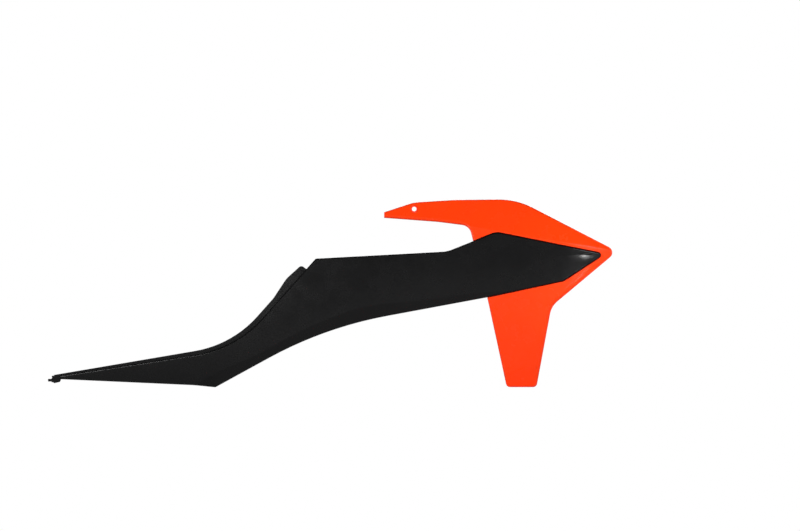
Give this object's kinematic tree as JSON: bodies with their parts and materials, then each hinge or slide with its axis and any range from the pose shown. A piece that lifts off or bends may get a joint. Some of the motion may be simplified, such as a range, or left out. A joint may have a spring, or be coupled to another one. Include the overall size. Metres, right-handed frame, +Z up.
{
  "type": "dirt bike radiator shroud",
  "caption": "Right-hand off-road motorcycle radiator shroud: arrowhead front panel with a hook-back arm and a leg, screwed from behind to a long tapering side panel.",
  "frame": {"origin": "mouth of the tank screw hole, at the centre of its flat seat in the arm", "axes": "+X forward towards the nose, +Y inboard towards the bike, so the outer face looks along -Y, +Z up"},
  "size_m": [0.7989, 0.1188, 0.2659],
  "materials": {
    "orange_plastic": "smooth injection-moulded polypropylene, soft gloss",
    "black_plastic": "smooth injection-moulded polypropylene, soft gloss",
    "zinc_steel": "zinc plated"
  },
  "bodies": {
    "root": {"front_panel": "orange_plastic", "side_panel": "black_plastic", "joining_screws": "zinc_steel"}
  },
  "joints": []
}
